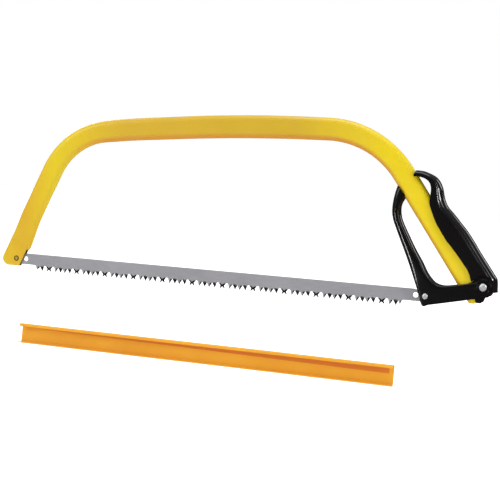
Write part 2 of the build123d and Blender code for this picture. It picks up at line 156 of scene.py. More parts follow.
def yellow_enamel_and_painted_light():
    material, tree, shader = new_material("yellow_enamel_and_painted_light", {
        "Roughness": 0.34, "Specular IOR Level": 0.45, "Coat Weight": 0.12,
        "Coat Roughness": 0.2})
    coords = object_coords(tree)
    # painted light: mustard along the top, brightening to lemon on the rear leg where the light
    # falls
    share = map_range(tree, split_xyz(tree, coords)["X"], *ENAMEL_X)
    along = ramp(tree, share, ENAMEL_WITH_PAINTED_LIGHT)
    # painted shade: a warmer, deeper orange where the face turns down, away from the toe
    normal = add_node(tree, "NewGeometry").outputs["Normal"]
    facing_down = map_range(tree, split_xyz(tree, normal)["Z"], -0.05, -0.6)
    past_toe = ramp(tree, share, [(0.13, grey(0)), (0.24, grey(1))])
    shade_below = mix_color(tree, calc(tree, "MULTIPLY", facing_down, past_toe), along,
                     (*srgb(214, 148, 40), 1))
    # faint cloudiness
    clouds = noise(tree, coords, scale=14, detail=4)
    tint = ramp(tree, clouds, [(0.35, (0.96, 0.96, 0.95)), (0.65, grey(1.0))])
    set_inputs(tree, shader, {"Base Color": mix_color(tree, 1.0, shade_below, tint, "MULTIPLY")})
    bump(tree, shader, noise(tree, coords, scale=420, detail=2), strength=0.012, distance=0.0002)
    vary_roughness(tree, shader, noise(tree, coords, scale=60, detail=3), low=0.30, high=0.40)
    return material


def black(name, rough):
    material, tree, shader = new_material(name, {
        "Base Color": (*srgb(10, 8, 9), 1), "Roughness": rough, "Specular IOR Level": 0.5,
        "Coat Weight": 0.0, "Coat Roughness": 0.08})
    pattern = noise(tree, object_coords(tree), scale=25, detail=2)
    vary_roughness(tree, shader, pattern, low=rough * 0.85, high=rough * 1.2)
    return material


def metal(name, color, rough, metallic, grain, relief, specular=0.5):
    """Grained surface: grain is the noise scale, relief the strength of its bump."""
    material, tree, shader = new_material(name, {
        "Base Color": (*color, 1), "Metallic": metallic, "Roughness": rough,
        "Specular IOR Level": specular})
    pattern = noise(tree, object_coords(tree), grain, detail=4)
    bump(tree, shader, pattern, relief, distance=0.0001)
    vary_roughness(tree, shader, pattern, low=rough * 0.75, high=rough * 1.25)
    return material


def blade_steel():
    material, tree, shader = new_material("blade_steel", {"Metallic": 0.25, "Roughness": 0.4})
    # fine streaks along the blade over broad clouds, averaged
    streaks = noise(tree, object_coords(tree, (1, 1, 14)), scale=55, detail=5, rough=0.6)
    clouds = noise(tree, object_coords(tree), scale=9, detail=3)
    mean = calc(tree, "MULTIPLY", calc(tree, "ADD", streaks, clouds), 0.5)
    color = ramp(tree, mean, [(0.3, srgb(158, 157, 162)), (0.7, srgb(184, 183, 188))])
    set_inputs(tree, shader, {"Base Color": color})
    bump(tree, shader, streaks, strength=0.1, distance=0.0001)
    return material


# painted shadow: a darker orange strip for the lip's shadow on the web; it starts above the line
# z = -(height + slope x), with the height and slope below
SHADOW_BAND_SLOPE = 0.0117
SHADOW_BAND_HEIGHT = 0.10012
SHADOW_BAND_FADE = 2500.0       # per metre above the line
SHADOW_BAND_MIN_Y = -0.0075
SHADOW_BAND_MAX_X = 0.5655


def orange_cover_and_painted_shadow():
    material, tree, shader = new_material("orange_cover_and_painted_shadow", {
        "Roughness": 0.42, "Specular IOR Level": 0.4, "Subsurface Weight": 0.05})
    coords = object_coords(tree)
    clouds = noise(tree, coords, scale=12, detail=3)
    color = ramp(tree, clouds, [(0.35, srgb(242, 168, 36)), (0.65, srgb(249, 178, 42))])
    # painted shadow: the strip, the lip's shadow on the web, runs along the cover's upper edge
    # and widens towards +X
    place = split_xyz(tree, coords)
    line = calc(tree, "ADD", calc(tree, "MULTIPLY", place["X"], SHADOW_BAND_SLOPE), place["Z"])
    above = calc(tree, "ADD", line, SHADOW_BAND_HEIGHT)
    shadow_band = calc(tree, "MULTIPLY", calc(tree, "MULTIPLY", above, SHADOW_BAND_FADE),
                calc(tree, "GREATER_THAN", place["Y"], SHADOW_BAND_MIN_Y))
    shadow_band = calc(tree, "MULTIPLY", shadow_band, calc(tree, "LESS_THAN", place["X"], SHADOW_BAND_MAX_X))
    shadow_band = calc(tree, "MINIMUM", calc(tree, "MAXIMUM", shadow_band, 0.0), 1.0)
    shadowed = mix_color(tree, shadow_band, color, (*srgb(228, 128, 34), 1))
    set_inputs(tree, shader, {"Base Color": shadowed})
    drawn = noise(tree, object_coords(tree, (1, 30, 30)), scale=40, detail=3)
    bump(tree, shader, drawn, strength=0.05, distance=0.0003)
    return material


YELLOW = yellow_enamel_and_painted_light()
INSIDE = metal("tube_inside", srgb(74, 58, 34), rough=0.6, metallic=0.2, grain=120, relief=0.2)
BLACK = black("black_moulding", rough=0.15)
BLACK_STEEL = black("black_ecoat", rough=0.45)
ZINC = metal("zinc_steel", srgb(232, 231, 233), rough=0.25, metallic=0.55, grain=300,
             relief=0.05)
BLADE = blade_steel()
GROUND = metal("ground_bevel", srgb(30, 29, 33), rough=0.45, metallic=0.3, grain=400,
               relief=0.1)
ORANGE = orange_cover_and_painted_shadow()
PIN_GAP_SHADOW = metal("pin_shadow_gap", srgb(34, 26, 14), rough=0.7, metallic=0.0, grain=120,
             relief=0.1, specular=0.1)
PIN_END = metal("pin_end", srgb(196, 164, 84), rough=0.45, metallic=0.3, grain=160, relief=0.1)

NODE_MATERIALS = {
    "bow_tube": YELLOW, "toe_pin": PIN_END, "fulcrum_pin": ZINC, "fulcrum_sleeve": ZINC,
    "saw_blade": BLADE, "hand_guard": BLACK, "heel_pin": ZINC, "tension_lever": BLACK_STEEL,
    "lever_grip": BLACK, "link_rivets": ZINC, "blade_cover": ORANGE}
for name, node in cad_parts.items():
    node.data.materials.clear()
    node.data.materials.append(NODE_MATERIALS[name])


# ------------------------------------------------------------------ mesh helpers
def mesh_object(name, verts, faces, material, validate=True):
    mesh = bpy.data.meshes.new(name)
    mesh.from_pydata([(x * MILLI, y * MILLI, z * MILLI) for x, y, z in verts], [], faces)
    if validate:
        mesh.validate()
    work = bmesh.new()
    work.from_mesh(mesh)
    bmesh.ops.recalc_face_normals(work, faces=work.faces)
    work.to_mesh(mesh)
    work.free()
    mesh.materials.append(material)
    obj = bpy.data.objects.new(name, mesh)
    SCENE.collection.objects.link(obj)
    return obj


def shade(obj, angle):
    """Smooth shading with edges sharper than angle degrees kept crisp."""
    for face in obj.data.polygons:
        face.use_smooth = True
    work = bmesh.new()
    work.from_mesh(obj.data)
    for edge in work.edges:
        sharp = len(edge.link_faces) == 2 and edge.calc_face_angle(0) > math.radians(angle)
        edge.smooth = not sharp
    work.to_mesh(obj.data)
    work.free()


def bevel(obj, width, segments):
    modifier = obj.modifiers.new("edge", "BEVEL")
    modifier.width = width * MILLI
    modifier.segments = segments
    modifier.limit_method = "ANGLE"
    modifier.angle_limit = math.radians(50)


def apply_modifiers(obj):
    depsgraph = bpy.context.evaluated_depsgraph_get()
    mesh = bpy.data.meshes.new_from_object(obj.evaluated_get(depsgraph))
    obj.modifiers.clear()
    old = obj.data
    obj.data = mesh
    bpy.data.meshes.remove(old)


def boolean(obj, tools, operation="DIFFERENCE"):
    for tool in tools:
        modifier = obj.modifiers.new("boolean", "BOOLEAN")
        modifier.operation = operation
        modifier.solver = "EXACT"
        modifier.object = tool
    apply_modifiers(obj)
    for tool in tools:
        bpy.data.objects.remove(tool)


def walls(rings, count, closed=False):
    """Quads between successive rings of count points; closed joins the last to the first."""
    faces = []
    for i in range(rings if closed else rings - 1):
        here, there = i * count, (i + 1) % rings * count
        for k in range(count):
            after = (k + 1) % count
            faces.append([here + k, here + after, there + after, there + k])
    return faces


def capped(rings, count):
    """Walls with a cap on the first and last rings."""
    last = (rings - 1) * count
    return walls(rings, count) + [list(range(count)), list(range(last, last + count))[::-1]]


def prism(name, outline, y0, y1, material):
    """Closed prism from an XZ outline."""
    n = len(outline)
    verts = [(x, y, z) for y in (y0, y1) for x, z in outline]
    caps = [list(range(n)), list(range(2 * n - 1, n - 1, -1))]
    return mesh_object(name, verts, caps + walls(2, n), material)


def cutter(outline, y0, y1):
    return prism("cutter", outline, y0, y1, YELLOW)


def circle(centre, radius, count):
    turns = [2 * math.pi * k / count for k in range(count)]
    return [(centre[0] + radius * math.cos(t), centre[1] + radius * math.sin(t)) for t in turns]


def disc(centre, radius, half_depth, count=48):
    return cutter(circle(centre, radius, count), -half_depth, half_depth)


def arc(centre, radius, start, end, count=8):
    """count + 1 points from start to end degrees."""
    turns = [math.radians(start + (end - start) * k / count) for k in range(count + 1)]
    return [(centre[0] + radius * math.cos(t), centre[1] + radius * math.sin(t)) for t in turns]


def smoothstep(t):
    t = min(1.0, max(0.0, t))
    return t * t * (3 - 2 * t)


# ------------------------------------------------------------------ frame tube
# The axis starts at TOE_AXIS; distances along it are measured from there.
TOE_AXIS = (18.47, 60.0)
TOE_HEADING = 65.67      # degrees up from +X
TOE_RUN = 84             # axis below its start
TAIL_RUN = 205.0         # straight down the rear leg, past the fulcrum
# (length, radius of the clockwise bend), radius 0 for a straight
RUNS = [(77.8, 0), (104.2, 103.8), (58.1, 895.4), (63.6, 0), (210.2, 2526.2), (122.8, 129.9),
        (TAIL_RUN, 0)]
STATION_STEP = 2.0
OVAL_POINTS = 48
WALL = 1.6
TOE_WIDTH = 34.0
TOE_SHIFT = 2.7          # the flattened toe sits this far towards the inside of the bow
# (distance along the axis, width)
TUBE_WIDTHS = [
    (-90, TOE_WIDTH), (-40, TOE_WIDTH), (-10, 31.4), (14, 30.4), (80, 30.2), (110, 29.6),
    (165, 29.6), (200, 31.0), (330, 31.4), (420, 31.2), (520, 30.2), (590, 29.8),
    (660, 29.6), (900, 30.2)]
TOE_THICKNESS, TUBE_THICKNESS = 6.4, 15.0


def advance(x, z, heading, radius, distance):
    """Place and heading after a distance along a straight or a bend."""
    start = math.radians(heading)
    if radius == 0:
        return x + distance * math.cos(start), z + distance * math.sin(start), heading
    end = start - distance / radius
    centre_x, centre_z = x + radius * math.sin(start), z - radius * math.cos(start)
    return (centre_x - radius * math.sin(end), centre_z + radius * math.cos(end),
            math.degrees(end))


def centreline():
    """(distance, x, z, heading) along the tube from below the toe to past the fulcrum."""
    place = (*TOE_AXIS, TOE_HEADING)
    stations = [(s, *advance(*place, 0, s)) for s in np.arange(-TOE_RUN, 0, STATION_STEP)]
    done = 0.0
    for length, radius in RUNS:
        count = max(2, int(length / STATION_STEP))
        for i in range(count):
            part = length * i / count
            stations.append((done + part, *advance(*place, radius, part)))
        place = advance(*place, radius, length)
        done += length
    return stations


def tube_thickness(s):
    # pressed flat at the toe, with a sharp fold where the flat ends
    rise = 0.42 * smoothstep((s + 39.5) / 2.5) + 0.58 * smoothstep((s + 38) / 60)
    return TOE_THICKNESS + (TUBE_THICKNESS - TOE_THICKNESS) * rise


def oval_point(flat, radius, turn):
    """(across, y) on a flat oval of half-flat length flat, spaced evenly round its girth."""
    way = (turn / (2 * math.pi)) * (2 * math.pi * radius + 4 * flat)
    half_arc = math.pi * radius
    if way < half_arc / 2:
        b = way / radius
        return flat + radius * math.cos(b), radius * math.sin(b)
    if way < half_arc / 2 + 2 * flat:
        return flat - (way - half_arc / 2), radius
    if way < 1.5 * half_arc + 2 * flat:
        b = math.pi / 2 + (way - half_arc / 2 - 2 * flat) / radius
        return -flat + radius * math.cos(b), radius * math.sin(b)
    if way < 1.5 * half_arc + 4 * flat:
        return -flat + (way - 1.5 * half_arc - 2 * flat), -radius
    b = 1.5 * math.pi + (way - 1.5 * half_arc - 4 * flat) / radius
    return flat + radius * math.cos(b), radius * math.sin(b)


def tube_skin(name, inset):
    verts = []
    stations = centreline()
    for s, x, z, heading in stations:
        half_width = float(np.interp(s, *zip(*TUBE_WIDTHS))) / 2 - inset
        radius = max(0.4, tube_thickness(s) / 2 - inset)
        flat = max(0.0, half_width - radius)
        shift = TOE_SHIFT * smoothstep((8 - s) / 44)
        a = math.radians(heading)
        for k in range(OVAL_POINTS):
            across, y = oval_point(flat, radius, 2 * math.pi * k / OVAL_POINTS)
            across += shift
            verts.append((x + math.sin(a) * across, y, z - math.cos(a) * across))
    return mesh_object(name, verts, capped(len(stations), OVAL_POINTS), YELLOW)


def line_with_inside(obj):
    """Give a cutter's faces the second slot, so its cut shows the tube's inside."""
    obj.data.materials.append(INSIDE)
    for face in obj.data.polygons:
        face.material_index = 1
    return obj


def toe_x(z, offset):
    """x at height z on the line that runs beside the toe axis, offset towards +X."""
    a = math.radians(TOE_HEADING)
    return TOE_AXIS[0] - (TOE_AXIS[1] - z) / math.tan(a) + offset / math.sin(a)


def toe_trim():
    """Cutter that leaves a level lower edge and a rounded lower corner at the toe."""
    bottom, radius = -10.8, 11.0
    edge_x = toe_x(bottom, TOE_SHIFT - TOE_WIDTH / 2)
    centre = (edge_x + radius / math.tan(math.radians(TOE_HEADING / 2)), bottom + radius)
    corner = arc(centre, radius, 270, 90 + TOE_HEADING, 12)
    x, z = corner[-1]
    return cutter([(80, bottom)] + corner + [(x - 2.0, z + 0.6), (x - 30, z + 10),
                                             (-90, -90), (80, -90)], -30, 30)


def build_tube():
    tube = tube_skin("tube_shell", 0.0)
    tube.data.materials.append(INSIDE)
    bore = line_with_inside(tube_skin("bore", WALL))
    # notch in the toe's inner edge
    offset = 16.9
    notch = [(toe_x(-30, offset), -30), (toe_x(13.0, offset), 13.0),
             (toe_x(13.6, offset) + 0.9, 13.9), (60, 14.6), (60, -30)]
    # lower end of the rear leg
    heel = [(600, -4.0), (670, -4.0), (689.5, 12.0), (790, 12.0), (790, -90), (600, -90)]
    boolean(tube, [bore, toe_trim(), line_with_inside(cutter(notch, -30, 30)),
                   cutter(heel, -30, 30), disc(TOE_PIN, PIN_HOLE_RADIUS, 20),
                   disc(FULCRUM, 4.05, 20)])
    shade(tube, 35)
    bevel(tube, width=0.25, segments=2)
    return tube


# ------------------------------------------------------------------ blade plate
RAKER_PITCH, FIRST_RAKER_X, RAKER_COUNT = 45.0, 53.1, 12
EDGE, TIP, TOP = -8.0, -16.0, 8.0        # z of the toothed edge, the points and the back
HALF_PLATE = 0.5
# round both ends of the plate, from the heel end of the teeth back to the toe end
PLATE_ENDS = [
    (609.0, EDGE), (612.6, -6.9), (614.6, -4.2), (615.0, -1.0), (615.0, 4.6), (613.9, 7.0),
    (611.6, TOP), (-4.6, TOP), (-6.9, 7.0), (-8, 4.6), (-8.0, -1.0), (-7.6, -4.2),
    (-5.6, -6.9), (-2.0, EDGE)]
SPARE_HOLE = 14.5        # from the pin towards the middle of the blade

# The teeth repeat round each raker; x is from the raker's middle.
# root line on one side of a raker, from the outside in
RAKER_ROOT = [(8.7, -9.4), (7.7, -8.4), (6.4, EDGE), (5.2, -8.5), (4.5, -9.5)]
# the raker's -X half, from root to middle
RAKER_HALF = [(-3.0, -11.0), (-2.7, -12.3), (-3.9, -15.5), (-2.4, -15.3), (-1.1, -14.0)]
# cutting teeth after a raker: root, point, root, and the ground side
TEETH_AFTER = [((8.7, -9.4), (10.7, TIP), (15.1, -9.2), "far"),
               ((15.1, -9.2), (18.9, TIP), (22.1, -9.4), "near")]
TEETH_BEFORE_NEXT = [((22.1, -9.4), (25.7, TIP), (29.9, -9.2), "far"),
                     ((29.9, -9.2), (34.2, TIP), (RAKER_PITCH - 8.7, -9.4), "near")]
TEETH_LAST = [((22.1, -9.4), (24.5, -14.4), (26.6, -9.0), "far")]


def moved(points, centre):
    return [(centre + x, z) for x, z in points]


def tooth_layout():
    """(root outline of the plate, teeth): a tooth is (left root, tips, right root, kind)."""
    start, first = (31.2, -8.6), (38.3, -9.8)
    root = [(28.0, EDGE), start, first]
    teeth = [(start, [(33.75, -14.6)], first, "far"),
             (first, [(42.3, TIP)], (FIRST_RAKER_X - 8.7, -9.4), "near")]
    mirrored = [(-x, z) for x, z in RAKER_ROOT]
    raker = RAKER_HALF + [(0, -12.9)] + [(-x, z) for x, z in reversed(RAKER_HALF)]
    for g in range(RAKER_COUNT):
        last = g == RAKER_COUNT - 1
        centre = FIRST_RAKER_X + RAKER_PITCH * g
        root += moved(mirrored + RAKER_ROOT[::-1] + [(15.1, -9.2), (22.1, -9.4)], centre)
        root += moved([(26.6, -9.0), (29.0, EDGE)] if last else [(29.9, -9.2)], centre)
        teeth.append(((centre - 4.5, -9.5), moved(raker, centre), (centre + 4.5, -9.5), "raker"))
        for *points, kind in TEETH_AFTER + (TEETH_LAST if last else TEETH_BEFORE_NEXT):
            left, tip, right = moved(points, centre)
            teeth.append((left, [tip], right, kind))
    return root, teeth


def pin_slot_cutters(pin_x, inward, width, lift):
    """A slot rising at 45 degrees from the pin, its eased lip, and the spare hole inward."""
    half = width / 2
    seat_x, seat_z = pin_x + inward * (half - 3.0), lift
    diagonal = math.sqrt(0.5)
    run_x, run_z = inward * diagonal, diagonal       # along the slot
    side_x, side_z = -inward * diagonal, diagonal    # square to it
    reach = 25
    outline = [(seat_x + side_x * half + run_x * reach, seat_z + side_z * half + run_z * reach)]
    turn = math.degrees(math.atan2(side_z, side_x))
    outline += arc((seat_x, seat_z), half, turn, turn + inward * 180, 20)
    outline += [(seat_x - side_x * half + run_x * reach, seat_z - side_z * half + run_z * reach)]
    lip_x = seat_x - side_x * half + run_x * (TOP - seat_z + side_z * half) / run_z
    lip = [(lip_x + inward * x, TOP + z)
           for x, z in ((-2.4, -2.4), (-0.4, -0.9), (2.8, 0.05), (2.8, 3), (-2.4, 3))]
    return [cutter(outline, -5, 5), cutter(lip, -5, 5),
            disc((pin_x + inward * SPARE_HOLE, 0), 3.5, 5)]


def build_plate(root):
    plate = prism("blade_body", root + PLATE_ENDS, -HALF_PLATE, HALF_PLATE, BLADE)
    boolean(plate, pin_slot_cutters(TOE_PIN[0], inward=1, width=7.4, lift=0.3)
            + pin_slot_cutters(HEEL_PIN[0], inward=-1, width=7.9, lift=0.5))
    shade(plate, 20)
    return plate


# ------------------------------------------------------------------ ground teeth
PLAIN, POLISHED = 0, 1   # material slots of the teeth
MARK_Y = HALF_PLATE + 0.02       # grinding marks lie just proud of the plate
# grinding mark beside a raker: (distance from its middle, z)
RAKER_MARK = [(4.6, -9.6), (4.0, -8.5), (2.9, -8.2), (0.7, -10.6), (1.2, -11.6), (2.9, -11.3)]


def raker_patches(left, tips, right):
    """A raker ground thin at its edges round a keel of full thickness."""
    rim = [left] + tips + [right]
    n = len(rim)
    middle = n // 2
    centre = (left[0] + right[0]) / 2
    keel = [(centre - 1.2, left[1]), (centre, -10.6), (centre + 1.2, left[1])]
    points = []
    for side in (-1, 1):
        points += [(x, side * (0.18 if 0 < k < n - 1 else HALF_PLATE), z)
                   for k, (x, z) in enumerate(rim)]
    points += [(x, side * HALF_PLATE, z) for side in (-1, 1) for x, z in keel]
    near, far = 2 * n, 2 * n + 3         # first keel point on each side
    faces = []
    for k in range(n - 1):
        hub = 0 if k < middle - 2 else 1 if k < middle + 1 else 2
        faces += [([k, k + 1, near + hub], POLISHED), ([n + k + 1, n + k, far + hub], POLISHED),
                  ([k, n + k, n + k + 1, k + 1], POLISHED)]
    faces += [([middle - 2, near + 1, near], POLISHED),
              ([middle + 1, near + 2, near + 1], POLISHED),
              ([near, near + 1, near + 2], PLAIN),
              ([n + middle - 2, far, far + 1], POLISHED),
              ([n + middle + 1, far + 1, far + 2], POLISHED),
              ([far, far + 2, far + 1], PLAIN)]
    patches = [(points, faces)]
    for y in (-MARK_Y, MARK_Y):
        marks = [(centre + side * x, y, z) for side in (-1, 1) for x, z in RAKER_MARK]
        patches.append((marks, [(list(range(6)), POLISHED), (list(range(6, 12)), POLISHED)]))
    return patches


def cutter_tooth_patches(left, tip, right, kind):
    """A triangular tooth ground from one side, and its mark on the plate."""
    # the roots are drawn in a little so that the gullets read as rounded
    drawn_in = 0.10
    left_x, right_x = (x + (tip[0] - x) * drawn_in for x in (left[0], right[0]))
    left_z, right_z = left[1], right[1]
    middle_x, middle_z = left_x * 0.5 + right_x * 0.5, (left_z + right_z) / 2 - 0.2
    side = -1 if kind == "near" else 1
    ground, plain, edge = side * HALF_PLATE, -side * HALF_PLATE, -side * 0.32
    points = [
        # 0-2 root line on the ground side
        (left_x, ground, left_z), (middle_x, ground, middle_z), (right_x, ground, right_z),
        # 3-5 cutting edges
        (left_x, edge, left_z - 0.9), (right_x, edge, right_z - 0.9), (tip[0], edge, tip[1]),
        # 6-8 plain face
        (left_x, plain, left_z), (right_x, plain, right_z), (tip[0], plain, tip[1]),
        # 9 where the plain face's polished half begins
        (middle_x + 0.4, plain, middle_z)]
    faces = [([0, 1, 3], POLISHED), ([1, 5, 3], POLISHED), ([1, 4, 5], POLISHED),
             ([1, 2, 4], POLISHED), ([6, 8, 9], PLAIN), ([9, 8, 7], POLISHED),
             ([0, 3, 6], POLISHED), ([3, 5, 8, 6], POLISHED), ([5, 4, 7, 8], POLISHED),
             ([4, 2, 7], POLISHED), ([0, 6, 9, 7, 2, 1], PLAIN)]
    mark_y = side * MARK_Y
    mark = [(left_x + 0.1, mark_y, left_z + 0.1), (middle_x - 0.8, mark_y, middle_z + 1.1),
            (middle_x + 0.8, mark_y, middle_z + 1.1), (right_x - 0.1, mark_y, right_z + 0.1)]
    return [(points, faces), (mark, [([0, 1, 2, 3], POLISHED)])]


def build_teeth(teeth):
    verts, faces, slots = [], [], []
    for left, tips, right, kind in teeth:
        if kind == "raker":
            patches = raker_patches(left, tips, right)
        else:
            patches = cutter_tooth_patches(left, tips[0], right, kind)
        for points, patch_faces in patches:
            base = len(verts)
            verts += points
            for face, slot in patch_faces:
                faces.append([base + k for k in face])
                slots.append(slot)
    obj = mesh_object("blade_teeth", verts, faces, BLADE, validate=False)
    obj.data.materials.append(GROUND)
    for face, slot in zip(obj.data.polygons, slots):
        face.material_index = slot
    return obj


# ------------------------------------------------------------------ blade cover
COVER_X0, COVER_X1 = 15.6, 571.6
COVER_TURN = math.radians(174)   # turned over about a line along X at this height
COVER_TURN_Z = -56.6


def cover_section():
    """(y, z) outline as if on the blade: web at -Y, upper flange, lower flange with a lip."""
    wall, depth, lip_height = 1.3, 11.0, 4.4
    web_y, bottom, top = -4.2, -18.6, 9.6
    corner, lip_corner, end_radius, fillet = 2.8, 1.6, 0.65, 0.45
    free_y = web_y + depth
    low = (web_y + corner, bottom + corner)
    high = (web_y + corner, top - corner)
    outer = (arc(low, corner, 270, 180) + arc(high, corner, 180, 90) + [(free_y - 0.6, top)]
             + arc((free_y - end_radius, top - end_radius), end_radius, 90, -90, 6))
    inner = arc(high, corner - wall, 90, 180) + arc(low, corner - wall, 180, 270)
    lip = [(free_y - wall - 0.5, bottom + wall)]
    lip += arc((free_y - wall - fillet, bottom + wall + fillet), fillet, 270, 360, 4)
    lip += [(free_y - wall, bottom + lip_height - 0.6)]
    lip += arc((free_y - wall / 2, bottom + lip_height - wall / 2), wall / 2, 180, 0, 6)
    lip += arc((free_y - lip_corner, bottom + lip_corner), lip_corner, 0, -90, 6)
    section = []
    for point in outer + inner + lip:
        # drop repeated points
        if not section or math.dist(point, section[-1]) > 1e-3:
            section.append(point)
    return section


def build_cover():
    section = cover_section()
    stations = np.concatenate([[COVER_X0], np.linspace(COVER_X0 + 2, COVER_X1 - 2, 60),
                               [COVER_X1]])
    cosine, sine = math.cos(COVER_TURN), math.sin(COVER_TURN)
    phase = np.random.default_rng(4).uniform(0, 6.28, 4)
    verts = []
    for x in stations:
        t = (x - COVER_X0) / (COVER_X1 - COVER_X0)
        # a faint wander in the thin extrusion
        wander_y = (0.22 * math.sin(5.1 * t * 2 + phase[0])
                    + 0.12 * math.sin(13 * t + phase[1]))
        wander_z = 0.10 * math.sin(7.3 * t + phase[2])
        for section_y, section_z in section:
            y, z = section_y + wander_y, section_z + wander_z - COVER_TURN_Z
            verts.append((x, y * cosine - z * sine, COVER_TURN_Z + y * sine + z * cosine))
    cover = mesh_object("cover_profile", verts, capped(len(stations), len(section)), ORANGE)
    shade(cover, 40)
    return cover


# ------------------------------------------------------------------ moulded black pieces
def catmull(rows, count):
    """Smooth curve through rows of numbers, count samples per span."""
    knots = [np.array(row, float) for row in rows]
    knots = [2 * knots[0] - knots[1]] + knots + [2 * knots[-1] - knots[-2]]
    out = []
    for a, b, c, d in zip(knots, knots[1:], knots[2:], knots[3:]):
        for q in range(count):
            t = q / count
            out.append(0.5 * ((2 * b) + (-a + c) * t + (2 * a - 5 * b + 4 * c - d) * t * t
                              + (-a + 3 * b - 3 * c + d) * t ** 3))
    out.append(knots[-2])
    return out


def loft(name, rows, half_section, count=7):
    """Closed skin through rows of (first edge x, z, second edge x, z, ...extra).

    half_section(row, width) gives (across, y) from the first edge to the second, y >= 0.
    """
    verts = []
    stations = catmull(rows, count)
    for row in stations:
        first, second = Vector((row[0], 0, row[1])), Vector((row[2], 0, row[3]))
        width = (second - first).length
        direction = (second - first) / width
        half = half_section(row, width)
        outline = half + [(across, -y) for across, y in reversed(half[1:-1])]
        for across, y in outline:
            point = first + direction * across
            verts.append((point.x, y, point.z))
    return mesh_object(name, verts, capped(len(stations), len(outline)), BLACK)


LEG_HEADING = math.radians(-54.4959)     # the tube's direction down the rear leg
UP_X, UP_Z = -math.cos(LEG_HEADING), -math.sin(LEG_HEADING)


def leg(along, outward):
    """(x, z) from the fulcrum: along is up the rear leg, outward is away from the bow."""
    return (FULCRUM[0] + along * UP_X + outward * UP_Z,
            FULCRUM[1] + along * UP_Z - outward * UP_X)


# ------------------------------------------------------------------ lever grip
# from the hooked top down: x, z on the toe side, then x, z on the heel side
GRIP_ROWS = [
    (580.2, 153.4, 583.0, 161.9), (585.6, 153.6, 588.6, 161.6), (591.0, 153.0, 594.6, 160.6),
    (597.8, 150.4, 606.4, 155.9), (602.4, 145.9, 613.2, 150.0), (604.4, 139.1, 617.9, 141.4),
    (604.2, 130.4, 619.9, 134.0), (603.8, 119.9, 622.4, 125.5), (607.9, 108.7, 627.0, 117.0),
    (612.0, 99.6, 636.0, 107.6), (616.8, 91.3, 645.4, 97.3), (628.3, 74.6, 654.8, 86.8),
    (635.6, 66.6, 664.3, 73.9), (645.4, 55.2, 673.9, 60.0), (654.0, 44.3, 683.3, 47.2),
    (660.3, 35.5, 691.5, 35.9), (664.0, 24.8, 696.3, 28.2), (668.0, 9.5, 697.6, 12.6)]
HOLLOW_FROM = 4          # first row that is hollow
CHEEK_INNER = 9.68       # y where the swept clearance begins
SWEEP = ([(650, 24.6)] + arc(LINK_PIVOT, 15.3, 154.9, 26.4, 39)
         + [(720, 24.9), (720, -20), (650, -20)])


def round_backed(half_depth, back, power, width, edge_radius, count=26):
    """Flat sides with a small rounded first edge and a superelliptical second edge."""
    back = min(back, 0.62 * width)
    points = [(0.0, 0.0), (0.0, half_depth - edge_radius)]
    for k in range(1, 5):
        b = math.pi / 2 * k / 4
        points.append((edge_radius * (1 - math.cos(b)),
                       half_depth - edge_radius + edge_radius * math.sin(b)))
    for k in range(1, 4):
        points.append((edge_radius + (width - back - edge_radius) * k / 4, half_depth))
    for k in range(count + 1):
        b = math.pi / 2 * (k / count) ** (1.0 + 0.25 * (1 - k / count))
        points.append((width - back + back * math.sin(b) ** (2 / power),
                       half_depth * max(0.0, math.cos(b)) ** (2 / power)))
    return points


def grip_outer(row, width):
    return round_backed(12.2, back=13.0, power=2.3, width=width, edge_radius=1.4)


def grip_inner(row, width):
    return round_backed(9.72, back=11.0, power=2.6, width=width, edge_radius=1.0)


def hollow_rows():
    """The grip's rows opened well past the toe side and drawn in by the heel-side wall."""
    rows = []
    for row in GRIP_ROWS[HOLLOW_FROM:]:
        first, second = Vector(row[:2]), Vector(row[2:])
        direction = (second - first).normalized()
        rows.append((*(first - direction * 30), *(second - direction * 2.9)))
    # one more row carries the hollow out through the lower end
    down = Vector((2.0, -16.0))
    rows.append((*(Vector(rows[-1][:2]) + down), *(Vector(rows[-1][2:]) + down)))
    return rows


def build_grip():
    grip = loft("grip_moulding", GRIP_ROWS, grip_outer)
    tube_room = [leg(200, -40), leg(200, 15.9), leg(20, 15.9), leg(20, -40)]
    boolean(grip, [loft("grip_hollow", hollow_rows(), grip_inner),
                   cutter(tube_room, -7.9, 7.9),
                   cutter(SWEEP, -20, -CHEEK_INNER), cutter(SWEEP, CHEEK_INNER, 20)])
    shade(grip, 32)
    return grip


# ------------------------------------------------------------------ hand guard
# from the top down and round to the link pivot: x, z on the toe or lower edge,
# x, z on the heel or upper edge, half depth in y, superellipse power
GUARD_ROWS = [
    (559.2, 142.0, 571.5, 126.5, 8.4, 2.3), (555.9, 128.9, 567.0, 118.5, 8.6, 2.3),
    (554.2, 116.5, 565.6, 112.0, 8.8, 2.3), (554.1, 106.0, 566.0, 104.5, 9.0, 2.3),
    (556.2, 95.8, 568.0, 97.3, 9.2, 2.35), (559.9, 87.0, 571.8, 89.0, 9.5, 2.4),
    (567.2, 71.0, 579.5, 75.0, 10.0, 2.6), (576.2, 52.0, 588.4, 59.2, 10.7, 3.0),
    (585.2, 31.8, 598.0, 44.0, 11.5, 4.0), (592.6, 14.4, 605.0, 31.0, 12.1, 6.0),
    (598.0, 1.4, 611.5, 22.5, 12.2, 9.0), (603.6, -12.7, 618.5, 17.2, 12.2, 11.0),
    (612.0, -10.9, 628.5, 15.3, 12.2, 11.0), (628.0, -7.4, 642.4, 17.4, 12.2, 11.0),
    (650.0, -2.5, 660.0, 21.3, 12.2, 11.0), (684.0, 5.1, 681.0, 26.0, 12.2, 11.0)]
CHEEK_TOE = [(676.0, 4.0), (684.0, 5.2), (688.0, 6.4), (690.2, 9.4), (690.5, 15.0),
             (680.0, 20.0)]
PANEL_CENTRE = (645.0, 8.2)
PANEL_TILT = math.atan2(4.8, 21.8)
PANEL_HALF_LENGTH = 19
